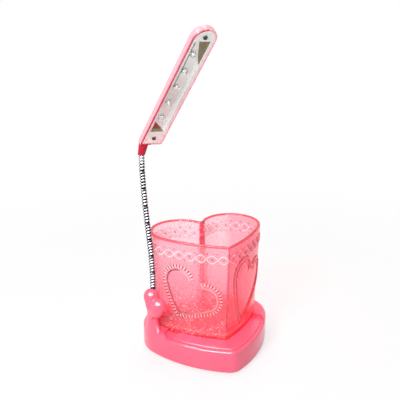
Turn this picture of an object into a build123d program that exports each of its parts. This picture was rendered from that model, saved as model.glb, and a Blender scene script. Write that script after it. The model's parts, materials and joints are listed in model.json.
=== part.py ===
from build123d import *
import os
from collections import namedtuple
from math import acos, atan2, cos, degrees, hypot, radians, sin, sqrt

# Desk lamp with a heart-shaped pen cup.
# All sizes in millimetres. +Z is up, the tip of the heart points to -Y, and the
# origin is on the table under the middle of the base.

os.makedirs("parts", exist_ok=True)

HeartShape = namedtuple("HeartShape", "lobe_x lobe_y lobe_radius tip_y side_radius cleft_radius")

# Fits
fixed_fit = 0.05
loose_fit = 0.3

# Pen cup
cup_heart = HeartShape(25.3, 12.9, 27.9, -44.5, 150.0, 2.0)
cup_height = 94.0
cup_draft = 4.0
cup_wall = 2.6
cup_floor = 3.0
relief_raise = 0.9
relief_border = 3.2
relief_depth = 9.0
# Relief heart on each front side: outline, distance along the side from the front edge,
# height above the foot, and lean
left_relief = (HeartShape(15.2, 8.0, 15.2, -23.3, 90.0, 2.0), 38.3, 40.9, 28.3)
right_relief = (HeartShape(15.0, 16.0, 17.0, -33.0, 110.0, 2.0), 33.0, 39.6, 20.0)

# Base
base_heart = HeartShape(26.0, 13.0, 35.3, -61.0, 120.0, 8.0)
base_tip_round = 13.0
foot_height = 1.5
step_height = 22.4
plateau_rise = 1.6
shoulder_rise = 1.0
plateau_inset = 3.4
step_round = 2.0
plateau_round = 1.0
shoulder_round = 5.0
skirt_round = 1.2
base_wall = 2.2
seat_depth = 2.0
seat_clearance = 0.4

# Line where the raised shoulders end, as a chevron across the base
chevron_peak_y = 11.0
chevron_slope = 0.667
# Finger bay beside the cup, right-hand side, in plan
bay_points = [(50.2, -22.4), (38.5, -14.7), (33.0, -8.0), (41.0, -1.0), (49.2, -8.0)]

# Base plate, battery box and door
plate_thickness = 2.0
box_wall = 1.4
box_roof = 1.0
cell_radius = 7.2
cell_length = 49.5
nub_radius = 2.7
nub_length = 1.0
cell_gap = 0.5
cell_clearance = 0.2
contact_thickness = 0.4
spring_reach = 6.3
contact_height = 8.0
leaf_width = 6.0
leaf_tip = 1.0
door_lip = 1.2
door_lip_thickness = 1.0
door_grip_count = 4
door_grip_pitch = 3.0
door_grip_width = 1.2
door_grip_depth = 0.6
door_grip_length = 16.0
box_back_y = 31.0

# Fasteners and feet
boss_radius = 3.5
pilot_radius = 1.1
screw_radius = 1.3
screw_head_radius = 2.6
screw_head_height = 1.5
screw_length = 10.0
screw_slot_width = 0.7
screw_slot_depth = 0.6
screw_points = [(38.0, 34.0), (31.0, -22.0)]
pad_radius = 4.5
pad_sink = 0.5
back_pad = (46.0, 20.0)
pad_to_box = 6.9
pad_to_side = 12.877

# Heart post: a leaning puffed heart of four drops, from its lobes to the middle, the front and the tip.
# For each drop: place and radius of one end, then of the other, in the heart's plane
post_drops = [
    ((-5.9, 0.0), 7.3, (1.0, -6.0), 7.0),
    ((5.9, 0.0), 7.3, (2.0, -6.0), 7.0),
    ((5.7, -0.3), 7.3, (6.4, -6.4), 6.5),
    ((2.4, -6.4), 6.9, (4.0, -16.6), 4.0),
]
post_lobe_rise = 30.7
post_lean = 33.0
post_bearing = 196.4
# The heart is turned from the bearing of the gooseneck, and stands in front of it and outside it
post_turn = 6.6
post_forward = 6.8
post_outward = 3.3
# Collar behind the heart, round the gooseneck
collar_rise = 24.5
post_collar_radius = 4.7
post_collar_round = 0.6
neck_to_cup = 5.61
# Mound on the shoulder: heights above it, and half sizes along and across the heart, from foot to top
mound_rise = 11.0
mound_waist_rise = 3.0
mound_foot_half = (14.5, 4.6)
mound_waist_half = (8.6, 4.5)
mound_top_half = (5.8, 4.2)
mound_top_shift = -2.2
spigot_radius = 2.2
# The spigot stands this far nearer the middle than the gooseneck, to clear the wall
spigot_shift = 0.6
spigot_length = 8.5
nut_thickness = 3.0
nut_radius = 3.0

# Gooseneck
neck_radius = 2.75
neck_valley_radius = 2.35
neck_bore_radius = 1.9
rib_pitch = 2.667
rib_crest = 0.45
neck_joint_count = 8
neck_pitch = 16.0
neck_first_joint_rise = 10.3
neck_socket_depth = 18.0
neck_top_length = 14.0
# Lean of each link to the left, from the post to the head
neck_leans = [0.0, 0.4, 2.9, 5.0, 5.4, 4.9, 4.0, 2.7, 0.8]
neck_gap = 1.1
ball_radius = 1.8
ball_neck_radius = 1.3
ball_plug = 1.4
lead_radius = 0.6
lead_hole_radius = 0.8
lead_gap = 0.4
ferrule_wall = 0.75
ferrule_length = 9.0
stud_length = 12.0

# Lamp head
head_lean = 38.8
head_tilt = 9.9
head_roll = 6.0
head_width = 20.4
head_length = 128.2
head_thickness = 7.0
head_wall = 1.2
head_back_wall = 1.2
head_back_round = 2.6
collar_radius = 3.2
# Oval where the collar meets the lower end of the head: middle, and half sizes
collar_oval_middle = (-5.5, -3.4)
collar_oval_half = (4.6, 3.1)
# Where the lead turns into the head: height above the neck, then its distances from the
# middle, the lower end and the face of the head
lead_rise = 11.9
lead_turn_side = 7.8
lead_turn_end = -0.2
lead_turn_depth = 4.9
reflector_sink = 0.6
reflector_thickness = 3.2
trough_width = 13.0
trough_to_far_end = 11.5
trough_depth = 2.4
trough_taper = 40.0
trough_from_end = 15.7
led_count = 5
led_side = 1.8
led_from_end = 32.7
led_to_far_end = 25.5
led_radius = 2.5
led_hole_fit = 0.15
led_flange_radius = 2.9
led_flange_height = 0.8
led_height = 5.2
board_width = 13.0
board_margin = 2.5
board_thickness = 1.0
head_screw_radius = 1.0
head_screw_head_radius = 1.8
head_screw_head_height = 0.9
head_screw_length = 4.6
head_boss_radius = 2.6
head_screw_ends = (8.1, 7.6)

# Switch and wiring in the base
switch_size = (12.0, 6.0, 6.0)
switch_low_z = 8.0
switch_to_wall = 0.7
knob_size = (4.0, 6.6, 3.4)
knob_proud = 1.5
knob_travel = 3.0
knob_pocket = 2.4
circuit_size = (16.0, 14.0, 1.2)
circuit_middle = (-42.0, 17.0)
circuit_low_z = 7.0
circuit_pillar_radius = 2.0
circuit_pillar_reach = 5.0
# Wire pads, from the middle of the circuit board
neck_pad = (-6.0, -4.0)
switch_pad = (5.0, 5.0)
battery_pad = (6.0, -5.0)
switch_wire_run = 8.0
battery_wire_run = 7.0
resistor_radius = 1.1
resistor_length = 6.5
wire_bend = 3.0

# Worked-out levels and places
plateau_height = step_height + plateau_rise
shoulder_height = plateau_height + shoulder_rise
mound_top_z = shoulder_height + mound_rise
mound_waist_z = shoulder_height + mound_waist_rise
collar_top_z = mound_top_z + collar_rise
post_lobe_z = shoulder_height + post_lobe_rise
neck_first_joint_z = post_lobe_z + neck_first_joint_rise
seat_z = plateau_height - seat_depth
cup_top_z = seat_z + cup_height
cavity_top_z = seat_z - base_wall
plate_top_z = foot_height + plate_thickness
chevron_reach = 2 * base_heart.lobe_radius + base_heart.lobe_x
box_half_width = 1.5 * (2 * cell_radius + cell_gap) + cell_clearance
box_length = cell_length + nub_length + spring_reach + 2 * contact_thickness
box_front_y = box_back_y - box_length
cell_z = plate_top_z + cell_clearance + cell_radius
box_top_z = cell_z + cell_radius + cell_clearance
cell_pitch = 2 * cell_radius + cell_gap
trough_length = head_length - trough_from_end - trough_to_far_end
board_length = trough_length - 2 * board_margin
led_pitch = (head_length - led_from_end - led_to_far_end) / (led_count - 1)


def grown_cup(height):
    """How much the cup's outline differs from its rim at a height above its foot."""
    return -cup_draft * (1 - height / cup_height)


def side_arc(shape):
    """Centre of the right-hand side arc of a heart, and the angles where it starts and ends."""
    tip_to_lobe = hypot(shape.lobe_x, shape.lobe_y - shape.tip_y)
    bearing = atan2(shape.lobe_y - shape.tip_y, shape.lobe_x)
    centre_gap = shape.side_radius - shape.lobe_radius
    spread = acos(
        (shape.side_radius**2 + tip_to_lobe**2 - centre_gap**2) / (2 * shape.side_radius * tip_to_lobe)
    )
    arc_x = shape.side_radius * cos(bearing + spread)
    arc_y = shape.tip_y + shape.side_radius * sin(bearing + spread)
    start = atan2(shape.tip_y - arc_y, -arc_x)
    end = atan2(shape.lobe_y - arc_y, shape.lobe_x - arc_x)
    return arc_x, arc_y, start, end


def side_reach(shape, y):
    """How far a heart's side arc stands from its middle line at a y."""
    arc_x, arc_y, _, _ = side_arc(shape)
    return arc_x + sqrt(shape.side_radius**2 - (y - arc_y) ** 2)


def heart(shape, grow=0.0, tip_round=0.0):
    """Heart outline of tangent arcs, offset outwards by grow."""
    arc_x, arc_y, _, turn = side_arc(shape)
    side = shape.side_radius + grow
    lobe = shape.lobe_radius + grow
    cleft = shape.cleft_radius - grow
    cleft_y = shape.lobe_y + sqrt((shape.lobe_radius + shape.cleft_radius) ** 2 - shape.lobe_x**2)
    tip = (0.0, arc_y - sqrt(side**2 - arc_x**2))
    start = atan2(tip[1] - arc_y, -arc_x)
    side_middle = (start + turn) / 2
    lobe_end = atan2(cleft_y - shape.lobe_y, -shape.lobe_x)
    lobe_middle = (turn + lobe_end) / 2
    side_top = (shape.lobe_x + lobe * cos(turn), shape.lobe_y + lobe * sin(turn))
    lobe_top = (shape.lobe_x + lobe * cos(lobe_end), shape.lobe_y + lobe * sin(lobe_end))
    cleft_turn = (lobe_end - radians(90)) / 2 + radians(270)
    with BuildSketch() as outline:
        with BuildLine():
            ThreePointArc(tip, (arc_x + side * cos(side_middle), arc_y + side * sin(side_middle)), side_top)
            ThreePointArc(
                side_top,
                (shape.lobe_x + lobe * cos(lobe_middle), shape.lobe_y + lobe * sin(lobe_middle)),
                lobe_top,
            )
            ThreePointArc(
                lobe_top,
                (cleft * cos(cleft_turn), cleft_y + cleft * sin(cleft_turn)),
                (0.0, cleft_y - cleft),
            )
            mirror(about=Plane.YZ)
        make_face()
        if tip_round > 0:
            fillet(outline.vertices().sort_by(Axis.Y)[0], tip_round)
    return outline.sketch


def both_sides(points):
    """Each point and its mirror image across the middle."""
    return [(side * x, y) for side in (1, -1) for x, y in points]


def save(builder, name):
    """Label a finished piece and write it."""
    builder.part.label = name
    export_step(builder.part, f"parts/{name}.step")


# Pen cup: a drafted heart with a floor, and a raised heart border on each front side
def relief_ring(side, outline, along, height, lean):
    """Raised heart border on one front side of the cup (side is 1 for right, -1 for left)."""
    arc_x, arc_y, start, end = side_arc(cup_heart)
    angle = start + along / cup_heart.side_radius
    radius = cup_heart.side_radius + grown_cup(height) + relief_raise
    normal = Vector(side * cos(angle), sin(angle), 0)
    origin = Vector(side * (arc_x + radius * cos(angle)), arc_y + radius * sin(angle), seat_z + height)
    upright = Plane(origin, x_dir=Vector(0, 0, 1).cross(normal), z_dir=normal)
    with BuildPart() as ring:
        with BuildSketch(Plane.XY.offset(seat_z)):
            add(heart(cup_heart, grown_cup(0) + relief_raise))
        with BuildSketch(Plane.XY.offset(cup_top_z)):
            add(heart(cup_heart, grown_cup(cup_height) + relief_raise))
        loft(ruled=True)
        with BuildSketch(Plane(upright * Rot(Z=-lean)).offset(relief_raise)):
            add(heart(outline))
            add(heart(outline, -relief_border), mode=Mode.SUBTRACT)
        extrude(amount=-relief_depth, mode=Mode.INTERSECT)
    return ring.part


with BuildPart() as pen_cup:
    with BuildSketch(Plane.XY.offset(seat_z)):
        add(heart(cup_heart, grown_cup(0)))
    with BuildSketch(Plane.XY.offset(cup_top_z)):
        add(heart(cup_heart, grown_cup(cup_height)))
    loft(ruled=True)
    add(relief_ring(1, *right_relief))
    add(relief_ring(-1, *left_relief))
    with BuildSketch(Plane.XY.offset(seat_z + cup_floor)):
        add(heart(cup_heart, grown_cup(cup_floor) - cup_wall))
    with BuildSketch(Plane.XY.offset(cup_top_z)):
        add(heart(cup_heart, grown_cup(cup_height) - cup_wall))
    loft(ruled=True, mode=Mode.SUBTRACT)
save(pen_cup, "pen_cup")

# Heart post: place of the post, and the gooseneck's line through it
cup_reach = cup_heart.lobe_radius + grown_cup(collar_top_z - seat_z)
post_out = Vector(cos(radians(post_bearing)), sin(radians(post_bearing)), 0)
post_along = Vector(0, 0, 1).cross(post_out)
cup_lobe = Vector(-cup_heart.lobe_x, cup_heart.lobe_y, 0)
post_foot = cup_lobe + post_out * (cup_reach + neck_to_cup)
heart_out = post_out.rotate(Axis.Z, post_turn)
heart_along = Vector(0, 0, 1).cross(heart_out)
heart_middle = post_foot + heart_along * post_forward + heart_out * post_outward
post_upright = Plane(heart_middle + Vector(0, 0, post_lobe_z), x_dir=heart_along, z_dir=heart_out)
post_plane = Plane(post_upright * Rot(Z=-post_lean))


def neck_direction(segment):
    """Direction of a gooseneck segment, counted from 1 at the post."""
    lean = radians(neck_leans[segment - 1])
    return Vector(-sin(lean), 0, cos(lean))


neck_joints = [Vector(post_foot.X, post_foot.Y, neck_first_joint_z)]
for segment in range(2, neck_joint_count + 1):
    neck_joints.append(neck_joints[-1] + neck_direction(segment) * neck_pitch)


def on_neck_foot(z):
    """Point at a height on the line of the lowest gooseneck segment."""
    direction = neck_direction(1)
    return neck_joints[0] + direction * ((z - neck_first_joint_z) / direction.Z)


spigot_point = on_neck_foot(shoulder_height) + Vector(spigot_shift, 0, 0)
spigot_low_z = cavity_top_z - spigot_length + base_wall

# Base housing: a low front with a stepped edge and raised, rounded shoulders behind
chevron = [
    (0, chevron_peak_y),
    (chevron_reach, chevron_peak_y - chevron_slope * chevron_reach),
    (chevron_reach, chevron_reach),
    (-chevron_reach, chevron_reach),
    (-chevron_reach, chevron_peak_y - chevron_slope * chevron_reach),
]
switch_x = -base_heart.lobe_x
switch_wall_y = base_heart.lobe_y + base_heart.lobe_radius
switch_middle_z = switch_low_z + switch_size[2] / 2
slot_width = knob_size[0] + knob_travel + 2 * loose_fit
slot_height = knob_size[2] + 2 * loose_fit

with BuildPart() as front_body:
    with BuildSketch(Plane.XY.offset(foot_height)):
        add(heart(base_heart, tip_round=base_tip_round))
        with BuildLine():
            Polyline(*chevron, close=True)
        make_face(mode=Mode.SUBTRACT)
    extrude(amount=step_height - foot_height)
    outer = front_body.faces().sort_by(Axis.Z)[-1].edges().filter_by(GeomType.CIRCLE)
    fillet(outer, step_round)
    with BuildSketch(Plane.XY.offset(step_height)):
        add(heart(base_heart, -plateau_inset, base_tip_round - plateau_inset))
        with BuildLine():
            Polyline(*chevron, close=True)
        make_face(mode=Mode.SUBTRACT)
    extrude(amount=plateau_height - step_height)
    outer = front_body.faces().sort_by(Axis.Z)[-1].edges().filter_by(GeomType.CIRCLE)
    fillet(outer, plateau_round)

with BuildPart() as rear_body:
    with BuildSketch(Plane.XY.offset(foot_height)):
        add(heart(base_heart, tip_round=base_tip_round))
        with BuildLine():
            Polyline(*chevron, close=True)
        make_face(mode=Mode.INTERSECT)
    extrude(amount=shoulder_height - foot_height)
    outer = rear_body.faces().sort_by(Axis.Z)[-1].edges().filter_by(GeomType.CIRCLE)
    fillet(outer, shoulder_round)

# Mound that the heart post stands on
with BuildPart() as mound:
    for level, half, shift in (
        (cavity_top_z, mound_foot_half, 0.0),
        (mound_waist_z, mound_waist_half, mound_top_shift / 2),
        (mound_top_z, mound_top_half, mound_top_shift),
    ):
        middle = post_foot + post_along * shift + Vector(0, 0, level)
        with BuildSketch(Plane(middle, x_dir=post_along, z_dir=(0, 0, 1))):
            Ellipse(*half)
    loft()
    with BuildSketch(Plane.XY.offset(cavity_top_z)):
        add(heart(base_heart, tip_round=base_tip_round))
    extrude(amount=mound_top_z - cavity_top_z, mode=Mode.INTERSECT)

with BuildPart() as base_housing:
    add(front_body.part)
    add(rear_body.part)
    skirt = base_housing.faces().sort_by(Axis.Z)[0].outer_wire().edges()
    fillet(skirt, skirt_round)
    add(mound.part)
    base_outside = base_housing.part
    with BuildSketch(Plane.XY.offset(seat_z)):
        add(heart(cup_heart, grown_cup(seat_depth) + seat_clearance))
    extrude(amount=mound_top_z - seat_z, mode=Mode.SUBTRACT)
    with BuildSketch(Plane.XY.offset(seat_z)):
        with BuildLine():
            Polyline(*bay_points, close=True)
        make_face()
        mirror(about=Plane.YZ)
    extrude(amount=mound_top_z - seat_z, mode=Mode.SUBTRACT)
    with BuildSketch(Plane.XY.offset(foot_height)):
        add(heart(base_heart, -base_wall, base_tip_round - base_wall))
    extrude(amount=cavity_top_z - foot_height, mode=Mode.SUBTRACT)
    with BuildSketch(Plane.XY.offset(plate_top_z)):
        with Locations(*both_sides(screw_points)):
            Circle(boss_radius)
    extrude(amount=cavity_top_z - plate_top_z)
    with BuildSketch(Plane.XY.offset(plate_top_z)):
        with Locations(*both_sides(screw_points)):
            Circle(pilot_radius)
    extrude(amount=screw_length, mode=Mode.SUBTRACT)
    with BuildSketch(Plane.XY.offset(cavity_top_z)):
        with Locations((spigot_point.X, spigot_point.Y)):
            Circle(spigot_radius + fixed_fit)
    extrude(amount=mound_top_z - cavity_top_z, mode=Mode.SUBTRACT)
    with Locations((switch_x, switch_wall_y - base_wall, switch_middle_z)):
        Box(slot_width, 4 * base_wall, slot_height, mode=Mode.SUBTRACT)
save(base_housing, "base_housing")


# Heart post: puffed heart and collar that stand on the mound, with a spigot through it
def drop(start, start_radius, end, end_radius):
    """Two balls in the heart's plane and the cone that touches both."""
    start = post_plane.from_local_coords(Vector(*start, 0))
    axis = post_plane.from_local_coords(Vector(*end, 0)) - start
    turn = acos((start_radius - end_radius) / axis.length)
    far_turn = (radians(180) + turn) / 2
    start_touch = (start_radius * cos(turn), start_radius * sin(turn))
    end_touch = (axis.length + end_radius * cos(turn), end_radius * sin(turn))
    end_middle = (axis.length + end_radius * cos(turn / 2), end_radius * sin(turn / 2))
    with BuildPart() as solid:
        with BuildSketch(Plane(start, x_dir=axis, z_dir=post_plane.z_dir)):
            with BuildLine():
                ThreePointArc(
                    (-start_radius, 0),
                    (start_radius * cos(far_turn), start_radius * sin(far_turn)),
                    start_touch,
                )
                Line(start_touch, end_touch)
                ThreePointArc(end_touch, end_middle, (axis.length + end_radius, 0))
                Line((axis.length + end_radius, 0), (-start_radius, 0))
            make_face()
        revolve(axis=Axis(start, axis))
    return solid.part


with BuildPart() as heart_post:
    with Locations(post_foot + Vector(0, 0, mound_top_z)):
        Cylinder(post_collar_radius, collar_rise, align=(Align.CENTER, Align.CENTER, Align.MIN))
    fillet(heart_post.edges().sort_by(Axis.Z)[-1], post_collar_round)
    for ends in post_drops:
        add(drop(*ends))
    add(base_outside, mode=Mode.SUBTRACT)
    with Locations((spigot_point.X, spigot_point.Y, spigot_low_z)):
        Cylinder(
            spigot_radius,
            mound_top_z + spigot_radius - spigot_low_z,
            align=(Align.CENTER, Align.CENTER, Align.MIN),
        )
    with BuildSketch(Plane(neck_joints[0], x_dir=(0, 1, 0), z_dir=neck_direction(1)).offset(neck_radius)):
        Circle(neck_radius + ferrule_wall + 2 * fixed_fit)
    extrude(amount=-neck_radius - neck_socket_depth - fixed_fit, mode=Mode.SUBTRACT)
    with BuildSketch(Plane(neck_joints[0], x_dir=(0, 1, 0), z_dir=neck_direction(1))):
        Circle(lead_hole_radius + fixed_fit)
    extrude(amount=-neck_first_joint_z, mode=Mode.SUBTRACT)
save(heart_post, "heart_post")

with BuildPart() as post_nut:
    with BuildSketch(Plane.XY.offset(cavity_top_z - nut_thickness)):
        with Locations((spigot_point.X, spigot_point.Y)):
            RegularPolygon(nut_radius, 6)
            Circle(spigot_radius + fixed_fit, mode=Mode.SUBTRACT)
    extrude(amount=nut_thickness)
save(post_nut, "post_nut")


# Gooseneck: ribbed links, each carrying a ball that the next link turns on
def neck_link(plane, low, high, ball):
    """Ribbed tube between two distances along a plane's normal, with or without a ball on top."""
    rib_count = max(1, round((high - low) / rib_pitch))
    pitch = (high - low) / rib_count
    slope = (pitch - 2 * rib_crest) / 2
    with BuildPart() as link:
        for rib in range(rib_count):
            foot = low + rib * pitch
            steps = [
                (foot, neck_valley_radius),
                (foot + slope, neck_radius),
                (foot + slope + rib_crest, neck_radius),
                (foot + 2 * slope + rib_crest, neck_valley_radius),
            ]
            for height, radius in steps:
                with BuildSketch(plane.offset(height)):
                    Circle(radius)
        with BuildSketch(plane.offset(high)):
            Circle(neck_valley_radius)
        loft(ruled=True)
        bore_top = high - ball_plug if ball else high
        with BuildSketch(plane.offset(low)):
            Circle(neck_bore_radius)
        extrude(amount=bore_top - low, mode=Mode.SUBTRACT)
        if ball:
            with BuildSketch(plane.offset(high)):
                Circle(ball_neck_radius)
            extrude(amount=neck_gap / 2)
            with Locations(plane.offset(high + neck_gap / 2)):
                Sphere(ball_radius)
            with BuildSketch(plane.offset(bore_top)):
                Circle(lead_hole_radius)
            extrude(amount=ball_plug + neck_gap / 2 + ball_radius, mode=Mode.SUBTRACT)
    return link


def neck_lead(plane, low, high):
    """Straight stretch of the two-core lead inside a link."""
    with BuildPart() as lead:
        with BuildSketch(plane.offset(low)):
            Circle(lead_radius)
        extrude(amount=high - low)
    return lead


neck_foot_plane = Plane(
    neck_joints[0] - neck_direction(1) * neck_socket_depth, x_dir=(0, 1, 0), z_dir=neck_direction(1)
)
save(neck_link(neck_foot_plane, 0, neck_socket_depth - neck_gap / 2, True), "gooseneck_1")
lead_start = ball_radius + lead_gap
for index, joint in enumerate(neck_joints):
    segment = index + 2
    link_plane = Plane(joint, x_dir=(0, 1, 0), z_dir=neck_direction(segment))
    if segment <= neck_joint_count:
        save(neck_link(link_plane, neck_gap / 2, neck_pitch - neck_gap / 2, True), f"gooseneck_{segment}")
        save(neck_lead(link_plane, lead_start, neck_pitch + ball_radius), f"lead_{segment}")
    else:
        save(neck_link(link_plane, neck_gap / 2, neck_top_length, False), f"gooseneck_{segment}")

top_direction = neck_direction(neck_joint_count + 1)
neck_top = neck_joints[-1] + top_direction * neck_top_length
lead_turn = neck_top + top_direction * lead_rise

with BuildPart() as lower_ferrule:
    with BuildSketch(neck_foot_plane):
        Circle(neck_radius + ferrule_wall + fixed_fit)
        Circle(neck_radius + fixed_fit, mode=Mode.SUBTRACT)
    extrude(amount=ferrule_length)
save(lower_ferrule, "lower_ferrule")

# Lamp head: a long tray with a rounded far end, on a collar above the gooseneck
upright_frame = Plane(lead_turn, x_dir=(1, 0, 0), z_dir=(0, -1, 0))
head_frame = Plane(upright_frame * Rot(X=head_lean) * Rot(Z=-head_tilt) * Rot(Y=head_roll))
face_plane = Plane(
    head_frame.from_local_coords((lead_turn_side, -lead_turn_end, lead_turn_depth)),
    x_dir=head_frame.x_dir,
    z_dir=head_frame.z_dir,
)
neck_top_plane = Plane(neck_top, x_dir=(0, 1, 0), z_dir=top_direction)
head_end_plane = Plane(face_plane.origin, x_dir=face_plane.x_dir, z_dir=face_plane.y_dir)
back_z = -head_thickness
reflector_top_z = -reflector_sink
reflector_low_z = reflector_top_z - reflector_thickness
trough_floor_z = reflector_top_z - trough_depth
board_top_z = reflector_low_z - led_flange_height
board_low_z = board_top_z - board_thickness
led_points = [(-led_side, led_from_end + led_pitch * place) for place in range(led_count)]
head_screw_points = [(0, head_screw_ends[0]), (0, head_length - head_screw_ends[1])]
trough_middle = (0, trough_from_end + trough_length / 2)


def tray_outline(inset):
    """Outline of the head seen from its lit face, square at the neck and round at the far end."""
    half = head_width / 2 - inset
    end = head_length - head_width / 2
    with BuildSketch() as outline:
        with BuildLine():
            Polyline((-half, end), (-half, inset), (half, inset), (half, end))
            ThreePointArc((half, end), (0, end + half), (-half, end))
        make_face()
    return outline.sketch


board_end = face_plane.from_local_coords(
    (-board_width / 2 + 2 * lead_radius, trough_middle[1] - board_length / 2, board_top_z - board_thickness / 2)
)
lead_leg = board_end - lead_turn
lead_leg_plane = Plane(lead_turn, x_dir=face_plane.z_dir, z_dir=lead_leg.normalized())

with BuildPart() as head_shell:
    with BuildSketch(face_plane.offset(back_z)):
        add(tray_outline(0))
    extrude(amount=head_thickness)
    fillet(head_shell.faces().sort_by(Axis(face_plane.origin, face_plane.z_dir))[0].edges(), head_back_round)
    with BuildSketch(neck_top_plane):
        Circle(collar_radius)
    with BuildSketch(head_end_plane):
        with Locations((collar_oval_middle[0], -collar_oval_middle[1])):
            Ellipse(*collar_oval_half)
    loft()
    with BuildSketch(head_end_plane):
        with Locations((collar_oval_middle[0], -collar_oval_middle[1])):
            Ellipse(*collar_oval_half)
    extrude(amount=head_back_round)
    with BuildSketch(face_plane.offset(back_z + head_back_wall)):
        add(tray_outline(head_wall))
    extrude(amount=head_thickness - head_back_wall, mode=Mode.SUBTRACT)
    with BuildSketch(face_plane.offset(back_z + head_back_wall)):
        with Locations(*head_screw_points):
            Circle(head_boss_radius)
    extrude(amount=reflector_low_z - back_z - head_back_wall)
    with BuildSketch(neck_top_plane):
        Circle(neck_bore_radius)
    extrude(amount=stud_length / 2, mode=Mode.SUBTRACT)
    with BuildSketch(neck_top_plane):
        Circle(lead_hole_radius)
    extrude(amount=lead_rise, mode=Mode.SUBTRACT)
    with Locations(lead_turn):
        Sphere(lead_hole_radius, mode=Mode.SUBTRACT)
    with BuildSketch(lead_leg_plane):
        Circle(lead_hole_radius)
    extrude(amount=2 * head_wall, mode=Mode.SUBTRACT)
    with BuildSketch(face_plane.offset(reflector_low_z)):
        with Locations(*head_screw_points):
            Circle(head_screw_radius)
    extrude(amount=-(reflector_low_z - back_z - head_back_wall), mode=Mode.SUBTRACT)
save(head_shell, "head_shell")

with BuildPart() as upper_stud:
    with BuildSketch(neck_top_plane.offset(-stud_length / 2)):
        Circle(neck_bore_radius - fixed_fit)
        Circle(lead_hole_radius, mode=Mode.SUBTRACT)
    extrude(amount=stud_length)
save(upper_stud, "upper_stud")

with BuildPart() as reflector:
    with BuildSketch(face_plane.offset(reflector_low_z)):
        add(tray_outline(head_wall + fixed_fit))
    extrude(amount=reflector_thickness)
    with BuildSketch(face_plane.offset(reflector_top_z)):
        with Locations(trough_middle):
            Rectangle(trough_width, trough_length)
    extrude(amount=-trough_depth, taper=trough_taper, mode=Mode.SUBTRACT)
    with BuildSketch(face_plane.offset(reflector_top_z)):
        with Locations(*led_points):
            Circle(led_radius + led_hole_fit)
        with Locations(*head_screw_points):
            Circle(head_screw_radius + fixed_fit)
    extrude(amount=-reflector_thickness, mode=Mode.SUBTRACT)
save(reflector, "reflector")

with BuildPart() as led_board:
    with BuildSketch(face_plane.offset(board_low_z)):
        with Locations(trough_middle):
            Rectangle(board_width, board_length)
    extrude(amount=board_thickness)
save(led_board, "led_board")

for place, point in enumerate(led_points, start=1):
    with BuildPart() as led:
        with BuildSketch(face_plane.offset(board_top_z)):
            with Locations(point):
                Circle(led_flange_radius)
        extrude(amount=led_flange_height)
        with BuildSketch(face_plane.offset(board_top_z)):
            with Locations(point):
                Circle(led_radius)
        extrude(amount=led_height - led_radius)
        dome = face_plane.from_local_coords((*point, board_top_z + led_height - led_radius))
        with Locations(dome):
            Sphere(led_radius)
    save(led, f"led_{place}")

with BuildPart() as head_screws:
    for point in head_screw_points:
        with BuildSketch(face_plane.offset(reflector_top_z)):
            with Locations(point):
                Circle(head_screw_head_radius)
        extrude(amount=head_screw_head_height)
        with BuildSketch(face_plane.offset(reflector_top_z)):
            with Locations(point):
                Circle(head_screw_radius - fixed_fit)
        extrude(amount=-head_screw_length)
        with BuildSketch(face_plane.offset(reflector_top_z + head_screw_head_height)):
            with Locations(point):
                Rectangle(2 * head_screw_head_radius, screw_slot_width)
        extrude(amount=-screw_slot_depth, mode=Mode.SUBTRACT)
save(head_screws, "head_screws")

with BuildPart() as head_lead:
    top_link_plane = Plane(neck_joints[-1], x_dir=(0, 1, 0), z_dir=top_direction)
    with BuildSketch(top_link_plane.offset(lead_start)):
        Circle(lead_radius)
    extrude(amount=neck_top_length + lead_rise - lead_start)
    with Locations(lead_turn):
        Sphere(lead_radius)
    with BuildSketch(lead_leg_plane):
        Circle(lead_radius)
    extrude(amount=lead_leg.length)
save(head_lead, "head_lead")

# Base plate with the battery box, screw holes and foot recesses
box_outer_half = box_half_width + box_wall
box_middle_y = (box_front_y + box_back_y) / 2
knob_rest_x = switch_x - knob_travel / 2
switch_front_y = switch_wall_y - base_wall - switch_to_wall
switch_middle_y = switch_front_y - switch_size[1] / 2
front_pad_y = box_front_y - pad_to_box - pad_radius
pad_points = [back_pad, (side_reach(base_heart, front_pad_y) - pad_to_side, front_pad_y)]
circuit_pillars = [(circuit_middle[0] + side * circuit_pillar_reach, circuit_middle[1]) for side in (-1, 1)]

with BuildPart() as base_plate:
    with BuildSketch(Plane.XY.offset(foot_height)):
        add(heart(base_heart, -base_wall - loose_fit / 2, base_tip_round - base_wall))
    extrude(amount=plate_thickness)
    with BuildSketch(Plane.XY.offset(plate_top_z)):
        with Locations((0, box_middle_y)):
            Rectangle(2 * box_outer_half, box_length + 2 * box_wall)
    extrude(amount=box_top_z + box_roof - plate_top_z)
    with BuildSketch(Plane.XY.offset(foot_height)):
        with Locations((0, box_middle_y)):
            Rectangle(2 * box_half_width, box_length)
    extrude(amount=box_top_z - foot_height, mode=Mode.SUBTRACT)
    with BuildSketch(Plane.XY.offset(plate_top_z + loose_fit)):
        with Locations((0, box_front_y + door_lip / 2), (0, box_back_y - door_lip / 2)):
            Rectangle(2 * box_half_width, door_lip)
    extrude(amount=door_lip_thickness)
    with BuildSketch(Plane.XY.offset(plate_top_z)):
        with Locations(*circuit_pillars):
            Circle(circuit_pillar_radius)
    extrude(amount=circuit_low_z - plate_top_z)
    with BuildSketch(Plane.XY.offset(plate_top_z)):
        with Locations((switch_x, switch_middle_y)):
            Rectangle(switch_size[0], switch_size[1])
    extrude(amount=switch_low_z - plate_top_z)
    with BuildSketch(Plane.XY.offset(foot_height)):
        with Locations(*both_sides(screw_points)):
            Circle(screw_radius + loose_fit)
    extrude(amount=plate_thickness, mode=Mode.SUBTRACT)
    with BuildSketch(Plane.XY.offset(foot_height)):
        with Locations(*both_sides(screw_points)):
            Circle(screw_head_radius + loose_fit)
    extrude(amount=plate_thickness / 2, mode=Mode.SUBTRACT)
    with BuildSketch(Plane.XY.offset(foot_height)):
        with Locations(*both_sides(pad_points)):
            Circle(pad_radius + fixed_fit)
    extrude(amount=pad_sink, mode=Mode.SUBTRACT)
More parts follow.
